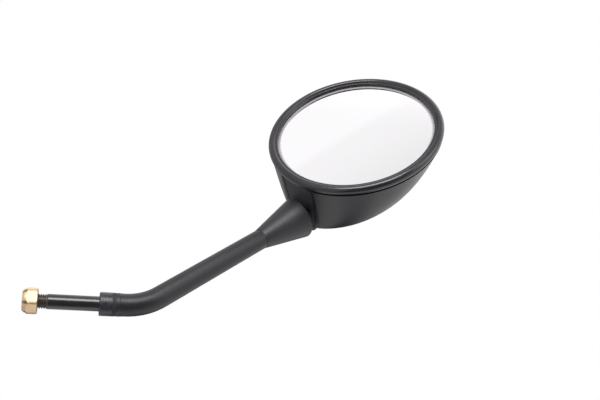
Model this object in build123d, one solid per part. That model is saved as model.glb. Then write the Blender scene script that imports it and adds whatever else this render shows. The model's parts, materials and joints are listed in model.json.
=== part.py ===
from build123d import *
import math
import os

# Round motorcycle mirror for the left side: bent stem, ball joint, deep round head.
# The origin is the middle of the shoulder collar's seat, +Z runs up the stem, and the glass faces -Y.

# Stem rod
shank_d = 10.0
shank_len = 33.1
thread_len = 15.2
thread_pitch = 1.5
thread_chamfer = 1.0
bar_d = 11.0
bend_angle = 37.0
bend_radius = 39.0
bend_height = 29.7
neck_d = 6.4
neck_chamfer = 1.6

# Shoulder collar, sleeve and cone on the stem
collar_d = 15.8
collar_h = 8.5
collar_chamfer = 0.5
sleeve_low_d = 15.6
sleeve_bend_d = 15.2
sleeve_top_d = 14.4
relief_low = 0.7
relief_w = 2.8
relief_depth = 0.2
cone_start = 104.0
cone_len = 37.3
cone_lip = 0.25
cone_big_d = 31.6
cone_rim_round = 1.2
cone_wall = 2.4
cone_hollow = 14.0
neck_start_depth = 12.0

# Lock nut
nut_af = 16.0
nut_h = 9.8
nut_hex_h = 7.2
nut_turn = 15.6
nut_rest_gap = 6.3
nut_chamfer_angle = 30.0
nut_crown_d = 12.6
insert_d = 11.8
insert_h = 1.9
insert_lip = 0.4
insert_crimp = 0.6

# Ball joint
ball_d = 16.0
seat_t = 1.4
rear_seat_cut = 6.2
front_seat_cut = 6.6
ball_hole_depth = 13.0
strap_t = 2.0
strap_w = 10.0
strap_lift = 0.2
screw_span = 36.0
screw_d = 4.0
screw_head_d = 7.6
screw_head_h = 2.4
screw_bite = 6.0
screw_play = 0.2
boss_d = 8.4
boss_below = 2.8
cup_floor = 3.2
spring_len = 6.4
spring_wire = 0.9
spring_d = 7.2
spring_turns = 3.5
washer_d = 8.6
washer_t = 0.8

# Head: how it sits on the neck at rest
head_roll = 20.36
head_dive = 10.93
neck_gap = 5.4
ball_wall_gap = 1.0
ball_depth = 37.1

# Housing shell, an oblique bowl of circles that share their neck side
rim_wall = 3.9
rim_drop = 3.5
bowl_depth = 38.6
bowl_fullness = 0.92
bowl_bluntness = 5.5
neck_lean = 1.03
bowl_stations = (0.0, 0.14, 0.30, 0.46, 0.62, 0.75, 0.85, 0.92, 0.96, 0.983, 0.994)
shell_wall = 2.5
end_cut = 2.4
end_wall = 2.5
hole_d = 15.2
ledge_depth = 3.2
ledge_t = 2.0
ledge_w = 5.5

# Neck seal let into the cut end, with a groove left round it
seal_t = 0.8
seal_groove = 0.9
seal_top = 0.6
seal_edge = 1.7
seal_web = 1.8
seal_low_d = 26.8

# Bezel ring
bead_d = 6.8
bead_proud = 1.0
bead_lift = 0.2
lip_overlap = 0.9
lip_top = 1.4
part_line = 2.8
skirt_t = 1.2
skirt_len = 3.6

# Mirror glass and the pad behind it
glass_d = 120.4
glass_t = 3.0
glass_lift = 0.2
glass_curve = 1200.0
pad_w = 8.0

# Metric thread: its pitch diameter lies this share of a pitch below the outer one
pitch_line_drop = 0.6495

# Clearances: pieces that stay together, and pieces that slide or turn
fit_gap = 0.05
run_gap = 0.06
seat_gap = 0.08

# Worked out from the sizes above
shank_r = shank_d / 2
bar_r = bar_d / 2
thread_r = shank_r - pitch_line_drop * thread_pitch / 2
neck_r = neck_d / 2
thread_end = -shank_len - thread_len
bend_rad = math.radians(bend_angle)
bend_tangent = bend_radius * math.tan(bend_rad / 2)
corner = Vector(0, 0, bend_height)
tube_dir = Vector(-math.sin(bend_rad), 0, math.cos(bend_rad))
cone_end = cone_start + cone_len
nut_top = -shank_len - nut_rest_gap

glass_r = glass_d / 2
lip_r = glass_r - lip_overlap
skirt_in = glass_r + fit_gap
skirt_r = skirt_in + skirt_t
rebate_r = skirt_r + fit_gap
rim_r = rebate_r + rim_wall
bead_ring_r = rim_r + bead_proud - bead_d / 2
end_reach = rim_r - end_cut

ball_r = ball_d / 2
seat_in = ball_r + seat_gap
seat_out = seat_in + seat_t
cup_sphere = seat_out + seat_gap
end_to_ball = ball_r + end_wall + ball_wall_gap
ball_back = end_reach - end_to_ball
keel_r = cup_sphere + cup_floor
dive = math.radians(head_dive)
roll = math.radians(head_roll)
ball_reach = cone_end + neck_gap + end_to_ball / math.cos(dive)
ball_center = corner + tube_dir * ball_reach

strap_low = front_seat_cut + strap_lift
strap_high = strap_low + strap_t
spring_high = strap_high + spring_len
head_low = spring_high + washer_t
boss_top = strap_low - boss_below
screw_tip = boss_top - screw_bite

ledge_z = -rim_drop - ledge_depth
seal_low_center = ball_depth + hole_d / 2 + seal_web - seal_low_d / 2


def head_plane():
    """The head's own axes: x away from the neck, z out of the glass, origin in the middle of the bead."""
    across = Vector(math.cos(bend_rad), 0, math.sin(bend_rad))
    up = Vector(0, -1, 0) * math.cos(roll) - across * math.sin(roll)
    x_dir = tube_dir * math.cos(dive) + up * math.sin(dive)
    z_dir = up * math.cos(dive) - tube_dir * math.sin(dive)
    origin = ball_center + x_dir * ball_back + z_dir * ball_depth
    return Plane(origin=origin, x_dir=x_dir, z_dir=z_dir)


HEAD = head_plane().location
BALL = Pos(-ball_back, 0, -ball_depth)


def along_tube(distance):
    """A frame on the tube's axis, so far from the bend's corner, with z along the tube."""
    return Plane(origin=corner + tube_dir * distance, x_dir=(0, 1, 0), z_dir=tube_dir).location


def post(radius, low, high):
    """An upright cylinder between two heights."""
    return Pos(0, 0, low) * Cylinder(radius, high - low, align=(Align.CENTER, Align.CENTER, Align.MIN))


def taper(low_r, high_r, length):
    """A frustum that stands on its low end."""
    if abs(low_r - high_r) < 1e-6:
        return post(low_r, 0, length)
    return Cone(low_r, high_r, length, align=(Align.CENTER, Align.CENTER, Align.MIN))


def bend_piece(radius):
    """A round bar through the bend alone."""
    start = Vector(0, 0, bend_height - bend_tangent)
    end = corner + tube_dir * bend_tangent
    path = TangentArc(start, end, tangent=(0, 0, 1))
    return sweep(Plane(origin=start, z_dir=(0, 0, 1)) * Circle(radius), path=path)


def bent_bar(radius, low, reach):
    """A round bar of one radius, up the stem, round the bend and along the tube."""
    lower = post(radius, low, bend_height - bend_tangent)
    upper = along_tube(bend_tangent) * post(radius, 0, reach - bend_tangent)
    return lower + bend_piece(radius) + upper


def stem_rod():
    """The bent steel bar: a turned shank, its thread at pitch size, the bend, and a thin neck."""
    neck_start = cone_end - neck_start_depth
    shank = post(shank_r, -shank_len, 0)
    bar = bent_bar(bar_r, 0, neck_start - neck_chamfer)
    thread = chamfer(post(thread_r, thread_end, -shank_len).edges().group_by(Axis.Z)[0], thread_chamfer)
    shoulder = along_tube(neck_start - neck_chamfer) * taper(bar_r, neck_r, neck_chamfer)
    neck_len = ball_reach - ball_r + ball_hole_depth - fit_gap - neck_start
    neck = along_tube(neck_start) * post(neck_r, 0, neck_len)
    return bar + shank + thread + shoulder + neck


def shoulder_collar():
    """The ring that seats on the bracket, with broken edges."""
    ring = post(collar_d / 2, 0, collar_h) - post(bar_r + fit_gap, -1, collar_h + 1)
    return chamfer(ring.edges().filter_by(GeomType.CIRCLE).group_by(SortBy.RADIUS)[-1], collar_chamfer)


def stem_sleeve():
    """The moulded sleeve: a straight foot with a shallow relief, the bend, and a long slim taper."""
    foot_len = bend_height - bend_tangent - collar_h
    foot = Pos(0, 0, collar_h) * taper(sleeve_low_d / 2, sleeve_bend_d / 2, foot_len)
    run = along_tube(bend_tangent) * taper(sleeve_bend_d / 2, sleeve_top_d / 2, cone_start - bend_tangent)
    sleeve = foot + bend_piece(sleeve_bend_d / 2) + run
    low = collar_h + relief_low
    high = low + relief_w
    sleeve -= post(sleeve_low_d, low, high) - post(sleeve_low_d / 2 - relief_depth, low - 1, high + 1)
    return sleeve - bent_bar(bar_r + fit_gap, collar_h - 1, cone_start + 1)


def neck_cone():
    """The flared boot: it grips the rod, and its wide end is hollow with a rounded rim."""
    small_r = sleeve_top_d / 2 + cone_lip
    big_r = cone_big_d / 2
    flare = taper(small_r, big_r, cone_len)
    flare = fillet(flare.edges().group_by(Axis.Z)[-1], cone_rim_round)
    slope = (big_r - small_r) / cone_len
    hollow_top = big_r - cone_wall
    hollow_low = hollow_top - slope * cone_hollow
    hollow = Pos(0, 0, cone_len - cone_hollow) * taper(hollow_low, hollow_top, cone_hollow)
    bore = post(bar_r + fit_gap, -1, cone_len)
    return along_tube(cone_start) * (flare - hollow - bore)


def nut_crown_profile():
    """Half section that trims the hexagon: chamfered corners, and a collar that rounds over its end."""
    corner_r = nut_af / math.sqrt(3)
    flat_r = nut_af / 2
    drop = (corner_r - flat_r) * math.tan(math.radians(nut_chamfer_angle))
    crown_r = nut_crown_d / 2
    with BuildSketch(Plane.XZ) as section:
        with BuildLine():
            seat = Polyline((0, 0), (flat_r, 0), (corner_r, -drop))
            side = Polyline(seat @ 1, (corner_r, drop - nut_hex_h), (flat_r, -nut_hex_h))
            round_over = RadiusArc(side @ 1, (crown_r, -nut_h), nut_h - nut_hex_h + (flat_r - crown_r) / 2)
            Polyline(round_over @ 1, (0, -nut_h), (0, 0))
        make_face()
    return section.sketch


def lock_nut():
    """Hexagon with a rounded collar, bored at the thread's pitch size, crimped over its insert."""
    corner_r = nut_af / math.sqrt(3)
    hexagon = Rot(0, 0, nut_turn) * RegularPolygon(corner_r, 6)
    blank = extrude(Pos(0, 0, -nut_h) * hexagon, nut_h) & revolve(nut_crown_profile(), Axis.Z)
    groove_low = -nut_h + insert_lip
    groove = post(insert_d / 2, groove_low, groove_low + insert_h)
    mouth = post(insert_d / 2 - insert_crimp, -nut_h - 1, groove_low)
    bore = post(thread_r + run_gap, -nut_h - 1, 1)
    return Pos(0, 0, nut_top) * (blank - groove - mouth - bore)


def lock_nut_insert():
    """The nylon ring in the nut's collar."""
    low = -nut_h + insert_lip + fit_gap
    high = low + insert_h - 2 * fit_gap
    ring = post(insert_d / 2 - fit_gap, low, high) - post(thread_r + run_gap, low - 1, high + 1)
    return Pos(0, 0, nut_top) * ring


def pivot_ball():
    """Steel ball pressed on the end of the neck."""
    hole_top = ball_hole_depth - ball_r
    hole = post(neck_r + fit_gap, -ball_r - 1, hole_top)
    return along_tube(ball_reach) * (Sphere(ball_r) - hole)


def seat_cap(height, sign):
    """The end of a round nylon shell, cut off flat so far from the ball's middle."""
    shell = Sphere(seat_out) - Sphere(seat_in)
    slab = Pos(0, 0, sign * height) * Box(
        4 * seat_out, 4 * seat_out, 2 * seat_out,
        align=(Align.CENTER, Align.CENTER, Align.MIN if sign > 0 else Align.MAX),
    )
    return HEAD * BALL * (shell & slab)


def ball_seat_rear():
    """Nylon cap between the ball and the housing's cup."""
    return seat_cap(rear_seat_cut, -1)


def ball_seat_front():
    """Nylon cap between the ball and the clamp plate."""
    return seat_cap(front_seat_cut, 1)


def screw_places():
    """The two clamp screws, either side of the ball."""
    return [Pos(0, side * screw_span / 2, 0) for side in (-1, 1)]


def clamp_plate():
    """Steel strap with round ends, dished over the front seat, with a hole for each screw."""
    strap = extrude(Pos(0, 0, strap_low) * Rot(0, 0, 90) * SlotCenterToCenter(screw_span, strap_w), strap_t)
    dome = Sphere(cup_sphere + strap_t) - post(2 * cup_sphere, -2 * cup_sphere, strap_low)
    plate = strap + dome - Sphere(cup_sphere)
    for place in screw_places():
        plate -= place * post(screw_d / 2 + screw_play, strap_low - 1, strap_high + 1)
    return HEAD * BALL * plate


def coil():
    """One round-wire spring, closed at its wire's middle on either end."""
    rise = spring_len - spring_wire
    helix = Helix(rise / spring_turns, rise, (spring_d - spring_wire) / 2)
    start = Plane(origin=helix @ 0, z_dir=helix % 0)
    return Pos(0, 0, strap_high + spring_wire / 2) * sweep(start * Circle(spring_wire / 2), path=helix)


def clamp_springs():
    """The pair of springs that press the plate on the ball."""
    return [HEAD * BALL * place * coil() for place in screw_places()]


def clamp_washers():
    """A washer between each spring and its screw's head."""
    hole = post(screw_d / 2 + screw_play, spring_high - 1, head_low + 1)
    ring = post(washer_d / 2, spring_high, head_low) - hole
    return [HEAD * BALL * place * ring for place in screw_places()]


def clamp_screws():
    """Pan-head screws, with a cross recess, into the housing's bosses."""
    shank = post(screw_d / 2, screw_tip, head_low)
    head = post(screw_head_d / 2, head_low, head_low + screw_head_h)
    head = fillet(head.edges().group_by(Axis.Z)[-1], screw_head_h / 2)
    arm = screw_head_d / 2
    slot = screw_d / 4
    recess = Box(arm, slot, screw_head_h) + Box(slot, arm, screw_head_h)
    screw = shank + head - Pos(0, 0, head_low + screw_head_h) * recess
    return [HEAD * BALL * place * screw for place in screw_places()]


def bowl_circle(depth, inset):
    """One level circle of the bowl: it shrinks with depth while its neck side stays almost upright."""
    share = depth / bowl_depth
    radius = rim_r * (1 - share**bowl_fullness) ** (1 / bowl_bluntness)
    shift = neck_lean * (rim_r - radius)
    return Pos(-shift, 0, -rim_drop - depth) * Circle(radius - inset)


def bowl(top, depth, inset):
    """The bowl's body from one depth to another, lofted through its circles."""
    return loft([bowl_circle(top + (depth - top) * share, inset) for share in bowl_stations])


def beyond(reach):
    """All that lies past the cut end, at some distance from the head's middle."""
    size = 6 * rim_r
    return Pos(-reach, 0, 0) * Box(size, size, size, align=(Align.MAX, Align.CENTER, Align.CENTER))


def keel():
    """The round bulge under the bowl that holds the ball: a barrel out past the cut end, with a round tip."""
    barrel = Rot(0, 90, 0) * post(keel_r, -2 * end_to_ball, 0)
    return BALL * (barrel + Sphere(keel_r))


def seal_outline(inset):
    """The seal's face: straight top and sides, and a round lower end, on the cut end's plane."""
    low_r = seal_low_d / 2 - inset
    half = math.sqrt(rim_r**2 - end_reach**2) - seal_edge - inset
    top = -rim_drop - seal_top - inset
    side = -seal_low_center
    with BuildSketch(Plane(origin=(-end_reach, 0, 0), x_dir=(0, -1, 0), z_dir=(-1, 0, 0))) as outline:
        with BuildLine():
            sides = Polyline((-low_r, side), (-half, top), (half, top), (low_r, side))
            ThreePointArc(sides @ 1, (0, side - low_r), sides @ 0)
        make_face()
    return outline.sketch


def neck_hole():
    """The round way for the neck through the cut end, level with the ball."""
    hole = Rot(0, 90, 0) * post(hole_d / 2, -end_wall - end_to_ball, ball_r)
    return BALL * hole


def neck_seal():
    """Grained rubber plate let into the cut end, round the neck."""
    plate = extrude(seal_outline(seal_groove), -seal_t)
    return HEAD * (plate - neck_hole())


def housing_shell():
    """Deep bowl cut off flat at the neck, with a rebate and a ledge for the glass, a cup and two bosses."""
    body = bowl(0, bowl_depth, 0) + keel() - beyond(end_reach)
    cavity = bowl(ledge_depth + ledge_t, bowl_depth - shell_wall, shell_wall) - beyond(end_reach - end_wall)
    throat = post(rebate_r - ledge_w, ledge_z - ledge_t - 1, 0) - beyond(end_reach - end_wall)
    rebate = post(rebate_r, ledge_z, 1)
    bosses = [place * post(boss_d / 2, -2 * rim_r, boss_top) for place in screw_places()]
    shell = body - cavity - throat - rebate
    shell += BALL * (bosses[0] + bosses[1]) & body
    for place in screw_places():
        shell -= BALL * place * post(screw_d / 2 + fit_gap, screw_tip - fit_gap, strap_low)
    shell -= BALL * Sphere(cup_sphere)
    shell -= extrude(seal_outline(0), -seal_t)
    return HEAD * (shell - neck_hole())


def bezel_ring():
    """Round bead with a thin inner step over the glass, and a skirt that plugs into the rebate."""
    with BuildSketch(Plane.XZ) as section:
        with Locations((bead_ring_r, bead_lift)):
            Circle(bead_d / 2)
        with Locations((lip_r, lip_top)):
            Rectangle(bead_ring_r - lip_r, lip_top - glass_lift, align=(Align.MIN, Align.MAX))
        with Locations((skirt_r, lip_top)):
            Rectangle(skirt_t, lip_top + part_line + skirt_len, align=(Align.MAX, Align.MAX))
        with Locations((skirt_in, glass_lift + fit_gap)):
            Rectangle(glass_r, bead_d + skirt_len, align=(Align.MAX, Align.MAX), mode=Mode.SUBTRACT)
        with Locations((skirt_r, -part_line)):
            Rectangle(bead_d, bead_d, align=(Align.MIN, Align.MAX), mode=Mode.SUBTRACT)
    return HEAD * revolve(section.sketch, Axis.Z)


def sag(radius, curve):
    """How far a round cap of that curve falls from its middle to its edge."""
    return curve - math.sqrt(curve**2 - radius**2)


def mirror_glass():
    """Round convex glass of one thickness."""
    rise = sag(glass_r, glass_curve)
    half = glass_r / 2
    mid_drop = sag(half, glass_curve)
    top = glass_lift + rise
    low = top - glass_t
    with BuildSketch(Plane.XZ) as section:
        with BuildLine():
            front = ThreePointArc((0, top), (half, top - mid_drop), (glass_r, top - rise))
            rim = Line(front @ 1, (glass_r, low - rise))
            back = ThreePointArc(rim @ 1, (half, low - mid_drop), (0, low))
            Line(back @ 1, front @ 0)
        make_face()
    return HEAD * revolve(section.sketch, Axis.Z)


def glass_pad():
    """Foam ring between the glass and the housing's ledge."""
    outer_r = skirt_in - fit_gap
    inner_r = outer_r - pad_w
    glass_back = glass_lift - glass_t - fit_gap
    lift = sag(glass_r, glass_curve) - sag(inner_r, glass_curve)
    with BuildSketch(Plane.XZ) as section:
        with BuildLine():
            Polyline(
                (inner_r, ledge_z), (outer_r, ledge_z), (outer_r, glass_back), (inner_r, glass_back + lift),
                close=True,
            )
        make_face()
    return HEAD * revolve(section.sketch, Axis.Z)


nodes = {
    "stem_rod": stem_rod,
    "shoulder_collar": shoulder_collar,
    "stem_sleeve": stem_sleeve,
    "neck_cone": neck_cone,
    "pivot_ball": pivot_ball,
    "lock_nut": lock_nut,
    "lock_nut_insert": lock_nut_insert,
    "ball_seat_rear": ball_seat_rear,
    "ball_seat_front": ball_seat_front,
    "housing_shell": housing_shell,
    "neck_seal": neck_seal,
    "bezel_ring": bezel_ring,
    "mirror_glass": mirror_glass,
    "glass_pad": glass_pad,
    "clamp_plate": clamp_plate,
    "clamp_springs": clamp_springs,
    "clamp_washers": clamp_washers,
    "clamp_screws": clamp_screws,
}

os.makedirs("parts", exist_ok=True)
for name, make in nodes.items():
    shape = make()
    if isinstance(shape, list):
        shape = Compound(children=shape)
    export_step(shape, f"parts/{name}.step")
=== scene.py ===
import json
import math

import bpy
import numpy as np
from mathutils import Matrix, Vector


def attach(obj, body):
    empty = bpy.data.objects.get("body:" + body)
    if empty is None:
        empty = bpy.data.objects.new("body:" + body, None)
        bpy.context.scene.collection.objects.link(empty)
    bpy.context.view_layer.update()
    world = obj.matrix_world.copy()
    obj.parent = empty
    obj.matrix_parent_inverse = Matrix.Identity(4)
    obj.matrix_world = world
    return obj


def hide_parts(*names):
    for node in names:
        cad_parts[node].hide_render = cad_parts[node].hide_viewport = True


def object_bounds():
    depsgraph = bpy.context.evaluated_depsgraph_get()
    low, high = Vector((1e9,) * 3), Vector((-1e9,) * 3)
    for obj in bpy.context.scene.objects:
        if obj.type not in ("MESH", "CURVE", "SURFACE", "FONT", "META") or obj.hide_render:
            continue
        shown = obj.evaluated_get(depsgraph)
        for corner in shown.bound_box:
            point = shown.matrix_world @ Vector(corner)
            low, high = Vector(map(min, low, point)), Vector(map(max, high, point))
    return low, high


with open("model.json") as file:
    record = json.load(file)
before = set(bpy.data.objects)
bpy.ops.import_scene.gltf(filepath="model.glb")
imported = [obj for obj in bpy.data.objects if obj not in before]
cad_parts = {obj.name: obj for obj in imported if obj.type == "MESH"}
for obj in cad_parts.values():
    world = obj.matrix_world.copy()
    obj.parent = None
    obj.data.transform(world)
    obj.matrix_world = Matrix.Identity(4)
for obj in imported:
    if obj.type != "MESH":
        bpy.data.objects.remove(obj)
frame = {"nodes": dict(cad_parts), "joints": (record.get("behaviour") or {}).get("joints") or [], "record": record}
cad_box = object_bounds()

MM = 0.001
TURN = 2 * math.pi
MIDDLE = (np.array(cad_box[0]) + np.array(cad_box[1])) / 2

# Stem: sizes that the frame doesn't state, in metres
BEND_RADIUS = 39 * MM
BAR_RADIUS = 5.5 * MM
BAR_PLAY = 0.05 * MM
NECK_RADIUS = 3.2 * MM
NECK_DEPTH = 12 * MM
NECK_TAPER = 1.6 * MM
SHANK_CHAMFER = 0.4 * MM
COLLAR_EDGE = 0.8 * MM
COLLAR_SEAM = 0.2 * MM

# Thread: its flat crest and its flank are shares of half a pitch
THREAD_PITCH = 1.5 * MM
THREAD_CREST = 4.88 * MM
THREAD_ROOT = 4.05 * MM
THREAD_CHAMFER = 1.0 * MM
THREAD_STEP = THREAD_PITCH / 16
CREST_SHARE = 0.2
FLANK_SHARE = 0.6

# Sleeve: band and ridge are places above its foot, with their widths
SLEEVE_BEND_RADIUS = 7.6 * MM
SLEEVE_TOP_RADIUS = 7.2 * MM
SLEEVE_BAND = 1.7 * MM
SLEEVE_BAND_WIDTH = 0.55 * SLEEVE_BAND
SLEEVE_BAND_DEPTH = 0.08 * MM
SLEEVE_RIDGE = 4.2 * MM
SLEEVE_RIDGE_WIDTH = 0.5 * MM
SLEEVE_RIDGE_PROUD = 0.16 * MM
SLEEVE_STEP = 0.25 * MM

# Lock nut
NUT_HEX_HEIGHT = 7.2 * MM
NUT_CHAMFER = math.radians(30)
NUT_EDGE = 0.5 * MM
NUT_LEAN = math.radians(-4)
NUT_NECK_IN = 0.3 * MM
NUT_NECK_DROP = 1.2 * MM
NUT_NECK_ROUND = 1.2 * MM
NUT_CROWN = 6.3 * MM
NUT_CROWN_ROUND = 0.5 * MM
NUT_STEP = 0.3 * MM
HEX_FROM = 0.8
HEX_OVER = 0.1
HEX_SHARPNESS = 60
CRIMP = 0.6 * MM
GROOVE_EDGE = 0.1 * MM
INSERT_PLAY = 0.05 * MM
INSERT_EDGE = 0.2 * MM

# Painted shade on the nut's crown, chamfers and edges: fades above the hexagon's low end, below the seat and
# towards a corner
CROWN_FADE = (-0.3 * MM, 0.5 * MM)
CHAMFER_RISE = (-2.2 * MM, -0.8 * MM)
CHAMFER_FALL = (0.3 * MM, 1.4 * MM)
CHAMFER_CORNER = (1.04, 1.13)
SEAT_FADE = (-0.7 * MM, -0.1 * MM)
EDGE_CORNER = (1.04, 1.14)

# Bezel and glass
BEAD_RADIUS = 3.4 * MM
BEAD_INNER = 2.5 * MM
LIP_DROP = 1.3 * MM
LIP_ROUND = 0.5 * MM
PART_LINE = 3.0 * MM
SKIRT = 1.2 * MM
GLASS_PLAY = 0.05 * MM
GLASS_RIM = 0.1 * MM
# A grey band on the glass inside the bezel: the silver's edge, with painted reflection and shade of the bezel
FRINGE = 2.6 * MM
FRINGE_FADE = 0.5 * FRINGE
SILVER_DEPTH = 0.8 * MM

# Any piece
EDGE = 0.3 * MM
POLE_SIZE = 1e-9

# The camera of the photograph
CAMERA_SPOT = (374.05 * MM, -563.92 * MM, -18.42 * MM)
CAMERA_AZIMUTH = math.radians(40.1706)
CAMERA_PITCH = math.radians(12.4877)
CAMERA_ROLL = math.radians(94.1073)
CAMERA_LENS = 60.0
CAMERA_SENSOR = 36.0
CAMERA_NEAREST = 0.01

# Light, and what the part reflects, as shares of plain white
AMBIENT = 0.60
CEILING = 1.01
CEILING_STEP = 0.06
CEILING_FALL = 0.16
WALL_LEFT = 0.45
WALL_GAIN = 0.95
GROUND = 1.55
ROOM_SHADE = 0.88
CORNER_SHADE = 0.96
BACK_GLOW = 0.5

# Lamps and floor
LAMP_DISTANCE = 1.0
FLOOR_DROP = 0.30
FLOOR_RADIUS = 0.75
FLOOR_FADE = (0.5 * FLOOR_RADIUS, 0.95 * FLOOR_RADIUS)


def unit(vector):
    """The vector at length one."""
    vector = np.array(vector, float)
    return vector / np.linalg.norm(vector)


def vertices(mesh):
    """The vertices of a mesh, one to a row."""
    flat = np.empty(len(mesh.vertices) * 3, np.float32)
    mesh.vertices.foreach_get("co", flat)
    return flat.reshape(-1, 3).astype(float)


class Axes:
    """An origin and three directions in the part's frame."""

    def __init__(self, origin, x, z):
        self.origin = np.array(origin, float)
        z = unit(z)
        x = unit(np.array(x, float) - z * np.dot(x, z))
        self.rows = np.array([x, np.cross(z, x), z])

    def place(self, points):
        """Points along these axes, in the part's frame."""
        return self.origin + points @ self.rows

    def seen(self, node):
        """The vertices of a node, along these axes."""
        return (vertices(frame["nodes"][node].data) - self.origin) @ self.rows.T

    def radii(self, node):
        """The least and greatest distance of a node from the z axis."""
        points = self.seen(node)
        reach = np.hypot(points[:, 0], points[:, 1])
        return reach.min(), reach.max()

    def heights(self, node):
        """The lowest and highest point of a node along z."""
        points = self.seen(node)
        return points[:, 2].min(), points[:, 2].max()


joint = {each["name"]: each for each in frame["joints"]}
mount = {each["name"]: each for each in frame["record"]["mounts"]}
BALL = np.array(joint["head_swivel"]["pos_m"])
TUBE = unit(joint["head_swivel"]["axis"])
ACROSS = unit(joint["head_tilt"]["axis"])
FACING = unit(joint["head_swing"]["axis"])
AWAY = np.cross(ACROSS, FACING)

# Axes of the stem, of the tube past its bend, and of the head, from the middle of the glass's front
stem = Axes((0, 0, 0), (1, 0, 0), (0, 0, 1))
tube = Axes(BALL, (0, 1, 0), TUBE)
at_ball = Axes(BALL, AWAY, FACING)
glass_at_ball = at_ball.seen("mirror_glass")
glass_middle = (glass_at_ball.min(axis=0) + glass_at_ball.max(axis=0)) / 2
glass_middle[2] = glass_at_ball[:, 2].max()
head = Axes(at_ball.place(glass_middle), AWAY, FACING)

# The stem's middle line: up z, round the bend and along the tube to the ball
BEND_ANGLE = math.atan2(-TUBE[0], TUBE[2])
BEND_TANGENT = BEND_RADIUS * math.tan(BEND_ANGLE / 2)
TUBE_REACH = BALL[0] / TUBE[0]
BEND_START = BALL[2] - TUBE_REACH * TUBE[2] - BEND_TANGENT
BEND_END = BEND_START + BEND_RADIUS * BEND_ANGLE
BALL_RUN = BEND_END + TUBE_REACH - BEND_TANGENT
SHANK_RADIUS = mount["stem_pin"]["dims"]["r_mm"] * MM
SHANK_LENGTH = mount["stem_pin"]["dims"]["length_mm"] * MM
SLEEVE_FOOT = stem.heights("shoulder_collar")[1]

# The angles of the nut's flats round the shank, a little further round than the frame's
nut_points = stem.seen("lock_nut")
nut_corner = nut_points[np.hypot(nut_points[:, 0], nut_points[:, 1]).argmax()]
NUT_TURN = math.atan2(nut_corner[1], nut_corner[0]) + NUT_LEAN
FLAT_TURNS = NUT_TURN + TURN / 12 + TURN / 6 * np.arange(6)

# Height of the glass's front at its edge, below its middle
glass_points = head.seen("mirror_glass")
glass_reach = np.hypot(glass_points[:, 0], glass_points[:, 1])
GLASS_EDGE = glass_points[glass_reach > glass_reach.max() - GLASS_RIM, 2].max()


# Meshes

def closed_mesh(name, points, loop):
    """A closed mesh from a grid of points.

    Columns run round and join up. Rows run along, and the last joins the first in a loop.
    A row that has shrunk to a point becomes one pole, with triangles round it.
    """
    rows, columns = points.shape[:2]
    ids = np.arange(rows * columns).reshape(rows, columns)
    poles = np.ptp(points, axis=1).max(axis=1) < POLE_SIZE
    ids[poles] = ids[poles, :1]
    ids = np.concatenate([ids, ids[:, :1]], axis=1)
    if loop:
        ids = np.concatenate([ids, ids[:1]], axis=0)
    quads = np.stack([ids[:-1, :-1], ids[:-1, 1:], ids[1:, 1:], ids[1:, :-1]], axis=-1)
    used, quads = np.unique(quads, return_inverse=True)
    quads = quads.reshape(-1, 4)
    first = quads[:, 0] == quads[:, 1]
    last = quads[:, 2] == quads[:, 3]
    triangles = np.concatenate([quads[first][:, [0, 2, 3]], quads[last][:, [0, 1, 2]]])
    faces = quads[~(first | last)].tolist() + triangles.tolist()
    mesh = bpy.data.meshes.new(name)
    mesh.from_pydata(points.reshape(-1, 3)[used], [], faces)
    return mesh


def outward(mesh):
    """Turn the faces of a closed mesh outwards, if the volume that they hold counts as negative."""
    corners = vertices(mesh)
    mesh.calc_loop_triangles()
    index = np.empty(len(mesh.loop_triangles) * 3, np.int32)
    mesh.loop_triangles.foreach_get("vertices", index)
    a, b, c = np.moveaxis(corners[index.reshape(-1, 3)] - corners.mean(axis=0), 1, 0)
    if np.einsum("ij,ij->i", a, np.cross(b, c)).sum() < 0:
        mesh.flip_normals()


def add(name, data):
    """A new object in the scene."""
    made = bpy.data.objects.new(name, data)
    bpy.context.scene.collection.objects.link(made)
    return made


def piece(name, points, body, node, finish, loop=True, sharp=40):
    """A finished piece from a grid: it rides on a body and stands for a node of the frame.

    An edge that turns by more than the angle sharp, in degrees, stays sharp when it is shaded.
    """
    mesh = closed_mesh(name, points, loop)
    outward(mesh)
    mesh.shade_smooth()
    mesh.set_sharp_from_angle(angle=math.radians(sharp))
    mesh.materials.append(paint[finish])
    made = add(name, mesh)
    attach(made, body)
    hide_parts(node)


def unit_rows(vectors):
    """Each row at length one."""
    return vectors / np.linalg.norm(vectors, axis=1)[:, None]


def rounded(corners, steps=6):
    """A closed outline from corners (across, up, radius), with an arc of that radius at each."""
    points = np.array([corner[:2] for corner in corners], float)
    radii = np.array([corner[2] for corner in corners], float)
    back = unit_rows(np.roll(points, 1, axis=0) - points)
    ahead = unit_rows(np.roll(points, -1, axis=0) - points)
    half = np.arccos(np.clip((back * ahead).sum(axis=1), -1, 1)) / 2
    middle = unit_rows(back + ahead)
    centres = points + middle * (radii / np.sin(half))[:, None]
    swing = np.linspace(-1, 1, steps) * (math.pi / 2 - half)[:, None]
    side = unit_rows(back - middle * (back * middle).sum(axis=1)[:, None])
    arcs = -middle[:, None] * np.cos(swing)[..., None] - side[:, None] * np.sin(swing)[..., None]
    return (centres[:, None] + arcs * radii[:, None, None]).reshape(-1, 2)


def spread(outline, step):
    """The same closed outline with points no further apart than a step."""
    closed = np.concatenate([outline, outline[:1]])
    run = np.concatenate([[0], np.cumsum(np.linalg.norm(np.diff(closed, axis=0), axis=1))])
    places = np.unique(np.concatenate([run[:-1], np.arange(0, run[-1], step)]))
    return np.stack([np.interp(places, run, closed[:, axis]) for axis in (0, 1)], axis=-1)


def whole_turn(columns):
    """Angles evenly spaced round a whole turn."""
    return np.linspace(0, TURN, columns, endpoint=False)


def carried_round(across, up, angle):
    """Points at a distance across from the z axis and a height up, at each angle round it."""
    return np.stack([across * np.cos(angle), across * np.sin(angle), up + 0 * angle], axis=-1)


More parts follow.
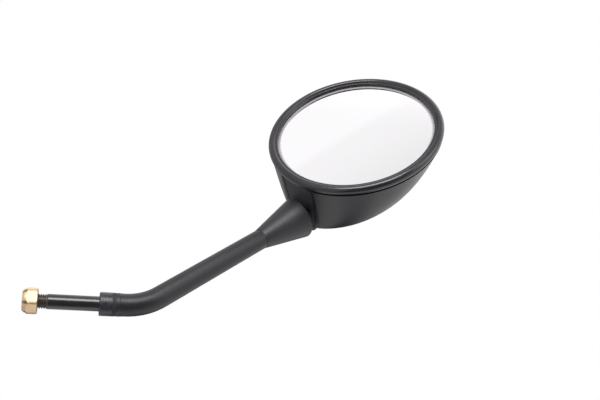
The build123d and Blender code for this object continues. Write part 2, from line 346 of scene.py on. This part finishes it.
def turned(outline, axes, columns):
    """The outline (distance from the axis, height), carried round the z axis of some axes."""
    return axes.place(carried_round(outline[:, :1], outline[:, 1:], whole_turn(columns)))


def along_stem(distance, radius, columns):
    """Rings of some radius, so far up the stem, round the bend and along the tube.

    Below the bend the middle is straight up z. In the bend it turns about a centre at
    -BEND_RADIUS on x, and past it, it goes straight on. The radius, one for each ring or each
    point, is laid off round it.
    """
    angle = whole_turn(columns)[None]
    distance = distance[:, None]
    turn = np.clip((distance - BEND_START) / BEND_RADIUS, 0, BEND_ANGLE)
    past = np.maximum(distance - BEND_END, 0)
    low = np.minimum(distance, BEND_START)
    x = -BEND_RADIUS * (1 - np.cos(turn)) - past * np.sin(turn)
    z = low + BEND_RADIUS * np.sin(turn) + past * np.cos(turn)
    out = radius * np.cos(angle)
    y = radius * np.sin(angle)
    return np.stack([x + out * np.cos(turn), y, z + out * np.sin(turn)], axis=-1)


# Materials

class Wire:
    """A socket of a node tree. Sums on it add Math nodes, and node() adds any other node."""

    def __init__(self, tree, socket=None):
        self.tree = tree
        self.socket = socket

    def feed(self, socket, value):
        """Link a wire to a socket, or set a plain value on it."""
        if isinstance(value, Wire):
            self.tree.links.new(value.socket, socket)
        else:
            socket.default_value = value

    def node(self, kind, settings=None, inputs=None, output=0):
        """A new node of that type, its settings made first, then its inputs set or linked."""
        made = self.tree.nodes.new(kind)
        for key, value in (settings or {}).items():
            setattr(made, key, value)
        for key, value in (inputs or {}).items():
            self.feed(made.inputs[key], value)
        return Wire(self.tree, made.outputs[output] if made.outputs else None)

    def math(self, operation, *inputs):
        """One Math node."""
        return self.node("ShaderNodeMath", {"operation": operation}, dict(enumerate(inputs)))

    def __add__(self, other):
        return self.math("ADD", self, other)

    def __radd__(self, other):
        return self.math("ADD", other, self)

    def __sub__(self, other):
        return self.math("SUBTRACT", self, other)

    def __rsub__(self, other):
        return self.math("SUBTRACT", other, self)

    def __mul__(self, other):
        return self.math("MULTIPLY", self, other)

    def __rmul__(self, other):
        return self.math("MULTIPLY", other, self)

    def ramp(self, low, high):
        """0 below one level, 1 above another, and smooth between."""
        return self.node(
            "ShaderNodeMapRange",
            {"interpolation_type": "SMOOTHSTEP"},
            {"Value": self, "From Min": low, "From Max": high},
        )

    def mix(self, first, second):
        """The first colour where this is 0, and the second where it is 1."""
        inputs = {0: self, 6: first, 7: second}
        return self.node("ShaderNodeMix", {"data_type": "RGBA"}, inputs, output=2)

    def dot(self, direction):
        """How far this vector goes in one direction."""
        inputs = {0: self, 1: tuple(direction)}
        return self.node("ShaderNodeVectorMath", {"operation": "DOT_PRODUCT"}, inputs, output=1)


class Finish:
    """A material under construction: its tree, its coordinates and its main shader."""

    def __init__(self, name):
        self.material = bpy.data.materials.new(name)
        self.material.use_nodes = True
        self.tree = self.material.node_tree
        self.shader = self.tree.nodes["Principled BSDF"]
        self.start = Wire(self.tree)
        self.place = self.start.node("ShaderNodeTexCoord", output="Object")

    def noise(self, size, detail, roughness=0.5):
        """Noise whose features are about that size, in metres."""
        inputs = {
            "Vector": self.place, "Scale": 1 / size, "Detail": detail, "Roughness": roughness,
        }
        return self.start.node("ShaderNodeTexNoise", None, inputs)

    def clouds(self, size, detail, roughness=0.5):
        """Noise of that size, stretched so that it reaches 0 and 1."""
        return self.noise(size, detail, roughness).ramp(0.3, 0.7)

    def cells(self, size):
        """Distance to the nearest of scattered points, about that size apart."""
        inputs = {"Vector": self.place, "Scale": 1 / size}
        return self.start.node("ShaderNodeTexVoronoi", {"feature": "F1"}, inputs)

    def along(self, axes, row):
        """Distance along one of some axes, from their origin."""
        return self.place.dot(axes.rows[row]) - float(np.dot(axes.origin, axes.rows[row]))

    def height(self, axes):
        """Distance along the z axis of some axes."""
        return self.along(axes, 2)

    def reach(self, axes):
        """Distance from the z axis of some axes."""
        x = self.along(axes, 0)
        y = self.along(axes, 1)
        return x.math("SQRT", x * x + y * y)

    def bump(self, height, depth):
        """A bump of that depth in metres, for the normal."""
        inputs = {"Height": height, "Distance": depth, "Strength": 1.0}
        return self.start.node("ShaderNodeBump", None, inputs)

    def done(self, **inputs):
        """Set or link the main shader's inputs, named with underscores for spaces."""
        for key, value in inputs.items():
            self.start.feed(self.shader.inputs[key.replace("_", " ")], value)
        return self.material


# The slight violet cast that the black pieces share
CAST = np.array([1.02, 0.90, 1.18])


def black(level):
    """A black or dark grey with the shared cast."""
    return tuple(level * CAST) + (1,)


def grey(level):
    """A neutral grey."""
    return (level, level, level, 1)


def black_paint():
    """Gloss black paint on the rod: faint orange peel, a few duller patches, a brown thread."""
    finish = Finish("black_paint")
    patch = finish.noise(9 * MM, 3).ramp(0.35, 0.75)
    peel = finish.noise(7 * MM, 1)
    thread = 1 - finish.height(stem).ramp(-SHANK_LENGTH - THREAD_PITCH, -SHANK_LENGTH)
    coat = patch.mix(black(0.009), black(0.014))
    return finish.done(
        Base_Color=thread.mix(coat, (0.034, 0.027, 0.020, 1)),
        Roughness=0.23 + 0.04 * patch + 0.08 * thread,
        Normal=finish.bump(peel, 0.001 * MM),
        Specular_IOR_Level=0.62,
        IOR=1.5,
    )


def soft_skin(
    name, low, high, rough, grain_size, grain_depth,
    shine=0.42, patch=22 * MM, uneven=0.06, dull=None,
):
    """Moulded black skin: patches of a slightly other tone and gloss, and a fine grain.

    A function dull(finish) may give a mask of where it is rougher.
    """
    finish = Finish(name)
    slow = finish.clouds(patch, 3)
    fine = finish.noise(grain_size * 4, 4, 0.6)
    grain = finish.cells(grain_size) + 0.6 * finish.noise(grain_size * 0.6, 3)
    roughness = rough + uneven * slow + 0.06 * fine
    if dull:
        roughness = roughness + 0.25 * dull(finish)
    return finish.done(
        Base_Color=(0.6 * slow + 0.4 * fine).mix(black(low), black(high)),
        Roughness=roughness,
        Normal=finish.bump(grain, grain_depth),
        Specular_IOR_Level=shine,
        IOR=1.5,
    )


def sleeve_band(finish):
    """The band at the sleeve's foot, from the collar to the ridge."""
    fade = finish.height(stem).ramp(SLEEVE_FOOT + SLEEVE_BAND, SLEEVE_FOOT + 2 * SLEEVE_BAND)
    return 1 - fade


def bezel_gloss():
    """Smooth black plastic with a gloss, faint flow marks and a slow waviness."""
    finish = Finish("bezel_gloss")
    flow = finish.clouds(14 * MM, 3)
    wave = finish.noise(12 * MM, 0)
    return finish.done(
        Base_Color=flow.mix(black(0.009), black(0.013)),
        Roughness=0.20 + 0.06 * flow,
        Normal=finish.bump(wave, 0.002 * MM),
        IOR=1.5,
    )


def silvered_glass():
    """Silvered glass: bright with the faintest haze, grey by the bezel: the silver's edge plus painted shade and
    reflection.
    """
    finish = Finish("silvered_glass")
    lip = head.radii("bezel_ring")[0]
    # A grey band inside the bezel's lip: the silver's edge, with painted reflection and shade of the bezel
    ring = finish.reach(head).ramp(lip - FRINGE, lip - FRINGE_FADE)
    haze = finish.noise(30 * MM, 3).ramp(0.3, 0.8)
    return finish.done(
        Base_Color=ring.mix((0.965, 0.95, 0.965, 1), (0.34, 0.31, 0.325, 1)),
        Roughness=0.015 + 0.01 * haze + 0.35 * ring,
        Metallic=1 - 0.8 * ring,
    )


def yellow_zinc():
    """Yellow zinc plate: cream to tan, scuffed, with painted shade: greyer on the crown and brown at the edges.

    A point's distance from the axis over its distance across the flats is 1 amid a flat and most
    at a corner.
    """
    finish = Finish("yellow_zinc")
    cloud = finish.clouds(3 * MM, 4, 0.6)
    scuff = finish.noise(0.7 * MM, 4, 0.7)
    shade_breakup = 0.4 + 0.9 * scuff
    below_seat = finish.height(stem) - float(stem.heights("lock_nut")[1])
    above_hex = below_seat + NUT_HEX_HEIGHT
    normals = [(math.cos(turn), math.sin(turn), 0) for turn in FLAT_TURNS[:3]]
    flats = [finish.place.dot(normal) for normal in normals]
    flats = [flat.math("ABSOLUTE", flat) for flat in flats]
    across = cloud.math("MAXIMUM", flats[0], cloud.math("MAXIMUM", flats[1], flats[2]))
    corner = cloud.math("DIVIDE", finish.reach(stem), across)
    # Painted shade: the crown, the chamfer's corners, the edges by the seat and the corners are darkened
    crown = 1 - above_hex.ramp(*CROWN_FADE)
    chamfer = above_hex.ramp(*CHAMFER_RISE) * (1 - above_hex.ramp(*CHAMFER_FALL))
    chamfer = chamfer * corner.ramp(*CHAMFER_CORNER)
    edge = cloud.math("MAXIMUM", corner.ramp(*EDGE_CORNER), below_seat.ramp(*SEAT_FADE))
    plate = cloud.mix((0.70, 0.485, 0.275, 1), (0.77, 0.55, 0.325, 1))
    # Painted shade: a greyer crown, then dark brown edges and chamfer corners, broken up by noise
    plate = (0.55 * crown).mix(plate, (0.34, 0.28, 0.22, 1))
    plate = (edge * shade_breakup).mix(plate, (0.19, 0.14, 0.10, 1))
    return finish.done(
        Base_Color=(chamfer * shade_breakup).mix(plate, (0.10, 0.07, 0.04, 1)),
        Roughness=0.40 + 0.14 * scuff,
        Metallic=0.25 + 0.1 * cloud,
        Normal=finish.bump(scuff, 0.02 * MM),
    )


def bright_zinc():
    """Bright zinc plate on the hidden steel pieces."""
    finish = Finish("bright_zinc")
    cloud = finish.clouds(3 * MM, 4, 0.6)
    return finish.done(
        Base_Color=cloud.mix(grey(0.58), grey(0.68)),
        Roughness=0.26 + 0.14 * cloud,
        Metallic=1.0,
    )


def natural_nylon():
    """Natural nylon: milky, with slow changes of tone."""
    finish = Finish("natural_nylon")
    cloud = finish.clouds(3 * MM, 3)
    return finish.done(
        Base_Color=cloud.mix((0.70, 0.68, 0.60, 1), (0.80, 0.79, 0.73, 1)),
        Roughness=0.42 + 0.1 * cloud,
    )


def closed_foam():
    """Black closed-cell foam."""
    finish = Finish("closed_foam")
    cell = finish.cells(0.8 * MM)
    return finish.done(
        Base_Color=cell.mix(grey(0.035), grey(0.02)),
        Roughness=0.8 + 0.1 * cell,
        Normal=finish.bump(cell, 0.15 * MM),
    )


paint = {
    "black_paint": black_paint(),
    "collar_skin": soft_skin(
        "collar_skin", low=0.008, high=0.020, rough=0.26, grain_size=0.60 * MM,
        grain_depth=0.03 * MM, shine=0.5, patch=3 * MM, uneven=0.14,
    ),
    "sleeve_skin": soft_skin(
        "sleeve_skin", low=0.008, high=0.013, rough=0.36, grain_size=0.45 * MM,
        grain_depth=0.03 * MM, shine=0.38, dull=sleeve_band,
    ),
    "boot_skin": soft_skin(
        "boot_skin", low=0.012, high=0.017, rough=0.38, grain_size=0.40 * MM,
        grain_depth=0.02 * MM,
    ),
    "housing_skin": soft_skin(
        "housing_skin", low=0.011, high=0.015, rough=0.30, grain_size=0.50 * MM,
        grain_depth=0.015 * MM,
    ),
    "seal_skin": soft_skin(
        "seal_skin", low=0.006, high=0.019, rough=0.46, grain_size=0.90 * MM,
        grain_depth=0.10 * MM, patch=4 * MM,
    ),
    "bezel_gloss": bezel_gloss(),
    "silvered_glass": silvered_glass(),
    "yellow_zinc": yellow_zinc(),
    "bright_zinc": bright_zinc(),
    "natural_nylon": natural_nylon(),
    "closed_foam": closed_foam(),
}

# Finish of each node that stays as it is in the frame
NODE_FINISH = {
    "neck_cone": "boot_skin",
    "pivot_ball": "bright_zinc",
    "ball_seat_rear": "natural_nylon",
    "ball_seat_front": "natural_nylon",
    "housing_shell": "housing_skin",
    "neck_seal": "seal_skin",
    "glass_pad": "closed_foam",
    "clamp_plate": "bright_zinc",
    "clamp_springs": "bright_zinc",
    "clamp_washers": "bright_zinc",
    "clamp_screws": "bright_zinc",
}
for node, name in NODE_FINISH.items():
    frame["nodes"][node].material_slots[0].material = paint[name]


# Pieces

def stem_rod():
    """The rod: a radius that changes along the stem's path, less a groove in the threaded end.

    The groove's depth is a clipped zigzag of (distance / pitch - angle / whole turn), so that it
    winds as a helix, and it fades out over one pitch at the shank.
    """
    columns = 72
    tip = stem.heights("stem_rod")[0]
    end = BALL_RUN + tube.heights("stem_rod")[1]
    neck = BALL_RUN + tube.heights("neck_cone")[1] - NECK_DEPTH
    thread = np.arange(tip, -SHANK_LENGTH, THREAD_STEP)
    shank = np.array([-SHANK_LENGTH, -SHANK_LENGTH + SHANK_CHAMFER, 0])
    bar = np.linspace(0, neck - NECK_TAPER, num=80)
    distance = np.concatenate([[tip], thread, shank, bar, [neck, end, end]])
    radius = np.interp(
        distance,
        [tip, tip + THREAD_CHAMFER, -SHANK_LENGTH, -SHANK_LENGTH + SHANK_CHAMFER],
        [THREAD_ROOT, THREAD_CREST, THREAD_CREST, SHANK_RADIUS],
    )
    radius[1 + len(thread) + len(shank):] = BAR_RADIUS
    radius[-3:] = NECK_RADIUS
    radius[[0, -1]] = 0
    turn = (distance[:, None] / THREAD_PITCH - whole_turn(columns)[None] / TURN) % 1
    groove = np.clip((np.abs(2 * turn - 1) - CREST_SHARE) / FLANK_SHARE, 0, 1)
    fade = np.clip((-SHANK_LENGTH - distance[:, None]) / THREAD_PITCH, 0, 1)
    bottom = THREAD_ROOT + (THREAD_CREST - THREAD_ROOT) * (1 - groove * fade)
    threaded = (np.arange(len(distance)) > 0) & (distance < -SHANK_LENGTH)
    cut = np.minimum(radius[:, None], bottom)
    grid = np.where(threaded[:, None], cut, radius[:, None])
    piece(
        "stem_rod_threaded", along_stem(distance, grid, columns), loop=False,
        body="stem", node="stem_rod", finish="black_paint",
    )


def shoulder_collar():
    """The collar: a rectangle with round outer corners, carried round the stem."""
    low, high = stem.heights("shoulder_collar")
    bore, outer = stem.radii("shoulder_collar")
    outline = rounded([
        (bore, low, EDGE),
        (outer, low, COLLAR_EDGE),
        (outer, high, COLLAR_SEAM),
        (bore, high, COLLAR_SEAM),
    ], steps=8)
    piece(
        "shoulder_collar_turned", turned(outline, stem, columns=96),
        body="stem", node="shoulder_collar", finish="collar_skin",
    )


def stem_sleeve():
    """The sleeve: a radius that tapers along the stem's path, with a bore inside it.

    At the foot, one bell-shaped dip makes the band, and one bell-shaped rise beside it the ridge.
    """
    foot = SLEEVE_FOOT
    top = BALL_RUN + tube.heights("stem_sleeve")[1]
    detail = np.arange(foot, BEND_START, SLEEVE_STEP)
    run = np.concatenate([detail, np.linspace(BEND_START, top, num=72)])
    foot_radius = stem.radii("shoulder_collar")[1]
    radius = np.interp(
        run,
        [foot, BEND_START, BEND_END, top],
        [foot_radius, SLEEVE_BEND_RADIUS, SLEEVE_BEND_RADIUS, SLEEVE_TOP_RADIUS],
    )
    band = np.exp(-((run - foot - SLEEVE_BAND) / SLEEVE_BAND_WIDTH) ** 2)
    ridge = np.exp(-((run - foot - SLEEVE_RIDGE) / SLEEVE_RIDGE_WIDTH) ** 2)
    radius = radius - SLEEVE_BAND_DEPTH * band + SLEEVE_RIDGE_PROUD * ridge
    back = np.concatenate([[top], np.linspace(top, foot, num=48), [foot]])
    bore = np.full(len(back), BAR_RADIUS + BAR_PLAY)
    distance = np.concatenate([run, back])
    points = along_stem(distance, np.concatenate([radius, bore])[:, None], columns=96)
    piece(
        "stem_sleeve_moulded", points,
        body="stem", node="stem_sleeve", finish="sleeve_skin",
    )


def lock_nut():
    """The nut: an outline carried round the shank, held in by a hexagon.

    At each angle the distance is a smooth lesser of the outline's and the hexagon's, the root of
    a sum of powers, which rounds the edges. The angles crowd towards the hexagon's corners, as
    the sine of evenly spaced steps. The hexagon takes hold from HEX_FROM of the flats' distance
    on, so that the bore and the groove stay round.
    """
    low, high = stem.heights("lock_nut")
    bore, corner = stem.radii("lock_nut")
    flat = corner * math.cos(TURN / 12)
    hex_low = high - NUT_HEX_HEIGHT
    drop = (corner - flat) * math.tan(NUT_CHAMFER)
    ring_low, ring_high = stem.heights("lock_nut_insert") + np.array([-INSERT_PLAY, INSERT_PLAY])
    ring = stem.radii("lock_nut_insert")[1] + INSERT_PLAY
    outline = rounded([
        (bore, high, EDGE),
        (flat, high, NUT_EDGE),
        (corner + EDGE, high - drop, EDGE),
        (corner + EDGE, hex_low + drop, EDGE),
        (flat, hex_low, EDGE),
        (flat - NUT_NECK_IN, hex_low - NUT_NECK_DROP, NUT_NECK_ROUND),
        (NUT_CROWN, low, NUT_CROWN_ROUND),
        (ring - CRIMP, low, GROOVE_EDGE),
        (ring - CRIMP, ring_low, GROOVE_EDGE),
        (ring, ring_low, GROOVE_EDGE),
        (ring, ring_high, GROOVE_EDGE),
        (bore, ring_high, GROOVE_EDGE),
    ])
    outline = spread(outline, NUT_STEP)
    steps = np.linspace(-1, 1, num=44, endpoint=False)
    sector = TURN / 12 * np.sin(TURN / 4 * steps)
    angle = (FLAT_TURNS[:, None] + sector).ravel()
    hexagon = flat / np.cos(np.tile(sector, 6))
    across = outline[:, :1]
    powers = across ** -HEX_SHARPNESS + hexagon[None] ** -HEX_SHARPNESS
    held = powers ** (-1 / HEX_SHARPNESS)
    keep = np.clip((across - HEX_FROM * flat) / (HEX_OVER * flat), 0, 1)
    across = across + (held - across) * keep
    piece(
        "lock_nut_plated", carried_round(across, outline[:, 1:], angle), sharp=60,
        body="lock_nut", node="lock_nut", finish="yellow_zinc",
    )


def lock_nut_insert():
    """The nylon ring: a rectangle with round corners, carried round the shank.

    Its bore is as the thread has cut it, just clear of the crests.
    """
    low, high = stem.heights("lock_nut_insert")
    outer = stem.radii("lock_nut_insert")[1]
    bore = THREAD_CREST + INSERT_PLAY
    corners = [(bore, high), (outer, high), (outer, low), (bore, low)]
    outline = rounded([(*corner, INSERT_EDGE) for corner in corners])
    piece(
        "lock_nut_insert_cut", turned(outline, stem, columns=96),
        body="lock_nut", node="lock_nut_insert", finish="natural_nylon",
    )


def bezel_ring():
    """The bezel: a bead, a flat inner lip with a round edge, and a skirt, round the head's axis.

    The bead is half an ellipse on its inner side and a circle on its outer one.
    """
    inner, outer = head.radii("bezel_ring")
    low, high = head.heights("bezel_ring")
    middle = high - BEAD_RADIUS
    ring = outer - BEAD_RADIUS
    lip = high - LIP_DROP
    shelf = head.radii("mirror_glass")[1] + GLASS_PLAY
    under = GLASS_EDGE + GLASS_PLAY
    wall = shelf + SKIRT
    seam = middle - PART_LINE
    start = math.pi - math.asin((lip - middle) / BEAD_RADIUS)
    stop = math.asin((seam - middle) / BEAD_RADIUS)
    sweep = np.linspace(start, stop, num=64)
    width = np.where(np.cos(sweep) < 0, BEAD_INNER, BEAD_RADIUS)
    bead = np.stack([
        ring + width * np.cos(sweep),
        middle + BEAD_RADIUS * np.sin(sweep),
    ], axis=-1)
    edge = np.linspace(TURN / 2, TURN / 4, num=10)
    lip_edge = np.stack([
        inner + LIP_ROUND * (1 + np.cos(edge)),
        lip - LIP_ROUND * (1 - np.sin(edge)),
    ], axis=-1)
    skirt = np.array([(wall, seam), (wall, low), (shelf, low), (shelf, under), (inner, under)])
    outline = np.concatenate([lip_edge, bead, skirt])
    piece(
        "bezel_ring_rolled", turned(outline, head, columns=256),
        body="head", node="bezel_ring", finish="bezel_gloss",
    )


def mirror_glass():
    """The glass: a round cap of one curve in front, the same behind it, and a straight edge.

    Its drop from the middle is curve - root(curve squared - distance squared). The front lies at
    the silvering's depth, which is what shows through the clear glass.
    """
    rim = head.radii("mirror_glass")[1]
    back = head.heights("mirror_glass")[0]
    curve = (rim ** 2 + GLASS_EDGE ** 2) / (-2 * GLASS_EDGE)
    reach = rim * np.linspace(0, 1, num=25)
    cap = np.stack([reach, np.sqrt(curve ** 2 - reach ** 2) - curve], axis=-1)
    front = cap - np.array([0, SILVER_DEPTH])
    rear = (cap + np.array([0, back - GLASS_EDGE]))[::-1]
    piece(
        "mirror_glass_silvered", turned(np.concatenate([front, rear]), head, columns=160),
        loop=False, body="head", node="mirror_glass", finish="silvered_glass",
    )


stem_rod()
shoulder_collar()
stem_sleeve()
lock_nut()
lock_nut_insert()
bezel_ring()
mirror_glass()


# Camera, light and floor

def look():
    """The directions of the photograph: to its right, up it, and out of it towards the camera."""
    level = np.array([math.cos(CAMERA_AZIMUTH), math.sin(CAMERA_AZIMUTH), 0])
    onward = np.array([-math.sin(CAMERA_AZIMUTH), math.cos(CAMERA_AZIMUTH), 0])
    ahead = onward * math.cos(CAMERA_PITCH) + np.array([0, 0, math.sin(CAMERA_PITCH)])
    rise = np.cross(level, ahead)
    right = level * math.cos(CAMERA_ROLL) + rise * math.sin(CAMERA_ROLL)
    up = rise * math.cos(CAMERA_ROLL) - level * math.sin(CAMERA_ROLL)
    return right, up, -ahead


RIGHT, UP, NEAR = look()


def stand(made, spot, x, y, z):
    """Put an object in its spot, with its axes in three directions."""
    matrix = Matrix(np.stack([x, y, z], axis=1).tolist()).to_4x4()
    matrix.translation = spot
    made.matrix_world = matrix


def camera():
    """The photograph's camera."""
    data = bpy.data.cameras.new("camera")
    data.lens = CAMERA_LENS
    data.sensor_width = CAMERA_SENSOR
    data.sensor_fit = "HORIZONTAL"
    data.clip_start = CAMERA_NEAREST
    made = add("camera", data)
    stand(made, CAMERA_SPOT, RIGHT, UP, NEAR)
    bpy.context.scene.camera = made


def softbox(name, right, up, near, size, power):
    """A soft lamp, in a direction of the photograph, that faces the part's middle."""
    data = bpy.data.lights.new(name, "AREA")
    data.shape = "RECTANGLE"
    data.size, data.size_y = size
    data.energy = power
    towards = unit(right * RIGHT + up * UP + near * NEAR)
    side = unit(np.cross(UP, towards))
    spot = MIDDLE + towards * LAMP_DISTANCE
    stand(add(name, data), spot, side, np.cross(towards, side), towards)


def studio():
    """White to the camera, and a room in the part's reflections.

    The room has a white ceiling with a panel's edge across it, walls that are brighter to the
    right and behind the part, a bright ground, a dim side where the camera stands, and a dark
    corner low behind the part. Each ramp runs between two cosines of the angle from a direction.
    """
    world = bpy.data.worlds.new("studio")
    world.use_nodes = True
    bpy.context.scene.world = world
    world.node_tree.nodes.clear()
    start = Wire(world.node_tree)
    way = start.node("ShaderNodeTexCoord", output="Generated")
    seen, through, gloss = (
        start.node("ShaderNodeLightPath", output=f"Is {ray} Ray")
        for ray in ("Camera", "Transmission", "Glossy")
    )
    across, rise, near = (way.dot(axis) for axis in (RIGHT, UP, NEAR))
    panel = way.dot(0.48 * RIGHT + 0.877 * NEAR)
    ceiling = CEILING - CEILING_STEP * panel.ramp(-0.24, -0.215)
    ceiling = ceiling - CEILING_FALL * panel.ramp(-0.22, 0.05)
    room = near.ramp(0.25, 0.85)
    corner = across.ramp(-0.26, -0.06) * (1 - across.ramp(0.1, 0.38))
    corner = corner * (1 - rise.ramp(0, 0.2)) * (1 - near.ramp(-0.36, 0.06))
    ground = 1 - rise.ramp(-0.98, -0.7)
    walls = WALL_LEFT + WALL_GAIN * across.ramp(-0.7, 0.7)
    walls = walls + ground * (GROUND - walls)
    walls = walls * (1 - ROOM_SHADE * room) * (1 - CORNER_SHADE * corner)
    behind = way.dot(unit(0.3 * RIGHT + 0.6 * UP - 0.75 * NEAR)).ramp(0.68, 0.95)
    zenith = rise.ramp(0.70, 0.92)
    level = walls + zenith * (ceiling - walls) + BACK_GLOW * behind
    plain = seen.math("MAXIMUM", seen, through)
    shade = plain + (1 - plain) * (gloss * level + (1 - gloss) * AMBIENT)
    shine = start.node("ShaderNodeBackground", None, {"Color": shade, "Strength": 1.0})
    start.node("ShaderNodeOutputWorld", None, {"Surface": shine})


def floor():
    """A pale round floor below the part. Its shadowed middle fades to plain white at the rim."""
    spot = Axes((MIDDLE[0], MIDDLE[1], cad_box[0][2] - FLOOR_DROP), (1, 0, 0), (0, 0, 1))
    rim = carried_round(FLOOR_RADIUS, 0, whole_turn(96))
    mesh = bpy.data.meshes.new("floor")
    mesh.from_pydata(spot.place(rim), [], [list(range(len(rim)))])
    finish = Finish("floor_white")
    fade = finish.reach(spot).ramp(*FLOOR_FADE)
    finish.done(Base_Color=grey(0.9), Roughness=0.9)
    lit = Wire(finish.tree, finish.shader.outputs[0])
    plain = finish.start.node("ShaderNodeEmission", None, {"Color": grey(1.0), "Strength": 1.0})
    both = finish.start.node("ShaderNodeMixShader", None, {0: fade, 1: lit, 2: plain})
    finish.start.feed(finish.tree.nodes["Material Output"].inputs["Surface"], both)
    mesh.materials.append(finish.material)
    made = add("floor", mesh)


camera()
studio()
softbox("overhead", right=0.0, up=0.74, near=0.67, size=(0.8, 0.5), power=12.5)
softbox("right_fill", right=0.80, up=0.45, near=0.39, size=(0.6, 0.6), power=2)
floor()

bpy.context.scene.view_settings.view_transform = "Standard"
